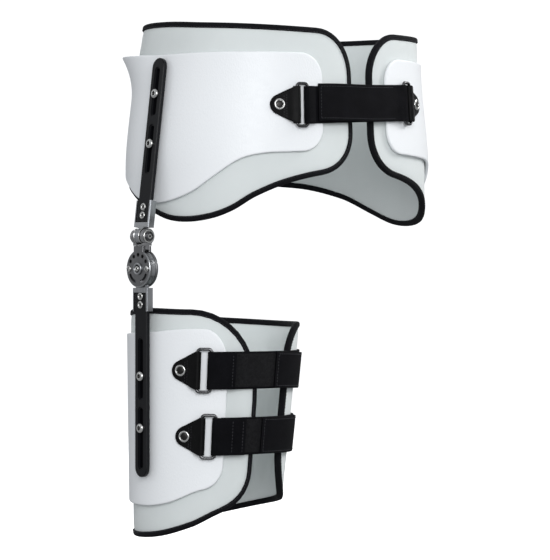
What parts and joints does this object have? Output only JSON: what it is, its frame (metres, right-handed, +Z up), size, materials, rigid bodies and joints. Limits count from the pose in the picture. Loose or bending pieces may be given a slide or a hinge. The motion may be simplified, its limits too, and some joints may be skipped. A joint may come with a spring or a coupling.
{
  "type": "hip orthosis",
  "caption": "Hip orthosis with a two-part strapped pelvic girdle, a slotted side upright with abduction pivot and flexion hinge, and a strapped thigh cuff.",
  "frame": {"origin": "on the girdle's middle line, level with the flexion hinge and in its plane, about the middle of the wearer's hip line", "axes": "+Z up along the wearer's body, the wearer faces -Y, the braced right leg is at -X"},
  "size_m": [0.3795, 0.2852, 0.5584],
  "materials": {
    "shell": "finely pebbled matt",
    "liner": "knitted fabric over foam",
    "binding": "folded woven binding",
    "webbing": "woven webbing with hook and loop",
    "tab": "coated webbing",
    "ring_wire": "dark plated wire",
    "bar": "black satin anodised",
    "gunmetal": "brushed, dark plated",
    "steel": "brushed",
    "nickel": "nickel plated"
  },
  "bodies": {
    "pelvic_girdle": {"back_ring_left": "ring_wire", "back_ring_right": "ring_wire", "back_rivet_left": "nickel", "back_rivet_right": "nickel", "back_strap_base": "webbing", "back_tab_left": "tab", "back_tab_right": "tab", "front_ring_left": "ring_wire", "front_ring_right": "ring_wire", "front_rivet_left": "nickel", "front_rivet_right": "nickel", "front_strap_base": "webbing", "front_tab_left": "tab", "front_tab_right": "tab", "pelvic_binding_left": "binding", "pelvic_binding_right": "binding", "pelvic_liner_left": "liner", "pelvic_liner_right": "liner", "pelvic_shell_left": "shell", "pelvic_shell_right": "shell", "pelvic_slot_nut_lower": "steel", "pelvic_slot_nut_upper": "steel", "pelvic_slot_screw_lower": "nickel", "pelvic_slot_screw_upper": "nickel"},
    "front_tail": {"front_strap_tail": "webbing"},
    "back_tail": {"back_strap_tail": "webbing"},
    "upper_upright": {"upper_bar": "bar", "upper_bracket": "steel", "upper_bracket_rivet_1": "nickel", "upper_bracket_rivet_2": "nickel"},
    "hinge_block": {"abduction_yoke": "steel", "abduction_bolt": "nickel", "abduction_nut": "nickel", "hinge_outer_plate": "gunmetal", "hinge_inner_plate": "gunmetal", "hinge_hub_bolt": "steel", "flexion_stop_screw": "nickel", "extension_stop_screw": "nickel"},
    "lower_upright": {"hinge_rotor": "steel", "lower_bracket": "steel", "lower_bracket_rivet_1": "nickel", "lower_bracket_rivet_2": "nickel", "lower_bar": "bar"},
    "thigh_cuff": {"thigh_binding": "binding", "thigh_liner": "liner", "thigh_ring_lower": "ring_wire", "thigh_ring_upper": "ring_wire", "thigh_rivet_lower": "nickel", "thigh_rivet_upper": "nickel", "thigh_shell": "shell", "thigh_slot_nut_lower": "steel", "thigh_slot_nut_upper": "steel", "thigh_slot_screw_lower": "nickel", "thigh_slot_screw_upper": "nickel", "thigh_strap_base_lower": "webbing", "thigh_strap_base_upper": "webbing", "thigh_tab_lower": "tab", "thigh_tab_upper": "tab"},
    "thigh_upper_tail": {"thigh_strap_tail_upper": "webbing"},
    "thigh_lower_tail": {"thigh_strap_tail_lower": "webbing"}
  },
  "joints": [
    {"name": "pelvic_height", "type": "slide", "parent": "pelvic_girdle", "child": "upper_upright", "axis": [0.1305, 0, 0.9914], "range_m": [-0.0168, 0.02]},
    {"name": "abduction_pivot", "type": "hinge", "parent": "upper_upright", "child": "hinge_block", "pos_m": [-0.1945, 0, 0.0347], "axis": [0, 1, 0], "range_deg": [-10, 30]},
    {"name": "flexion_hinge", "type": "hinge", "parent": "hinge_block", "child": "lower_upright", "pos_m": [-0.1945, 0, 0], "axis": [-1, 0, 0], "range_deg": [-15, 60]},
    {"name": "thigh_height", "type": "slide", "parent": "lower_upright", "child": "thigh_cuff", "axis": [0, 0, 1], "range_m": [-0.0208, 0.0186]},
    {"name": "front_strap_peel", "type": "hinge", "parent": "pelvic_girdle", "child": "front_tail", "pos_m": [0.06212, -0.13893, 0.182], "axis": [-0.0236, 0.0512, 0.9984], "range_deg": [0, 100]},
    {"name": "back_strap_peel", "type": "hinge", "parent": "pelvic_girdle", "child": "back_tail", "pos_m": [0.06942, 0.13107, 0.174], "axis": [0.0293, 0.0534, -0.9981], "range_deg": [0, 100]},
    {"name": "thigh_strap_upper_peel", "type": "hinge", "parent": "thigh_cuff", "child": "thigh_upper_tail", "pos_m": [-0.16032, -0.07315, -0.108], "axis": [-0.0187, 0.0419, -0.9989], "range_deg": [0, 100]},
    {"name": "thigh_strap_lower_peel", "type": "hinge", "parent": "thigh_cuff", "child": "thigh_lower_tail", "pos_m": [-0.15593, -0.07495, -0.178], "axis": [-0.0221, 0.0447, -0.9988], "range_deg": [0, 100]}
  ]
}
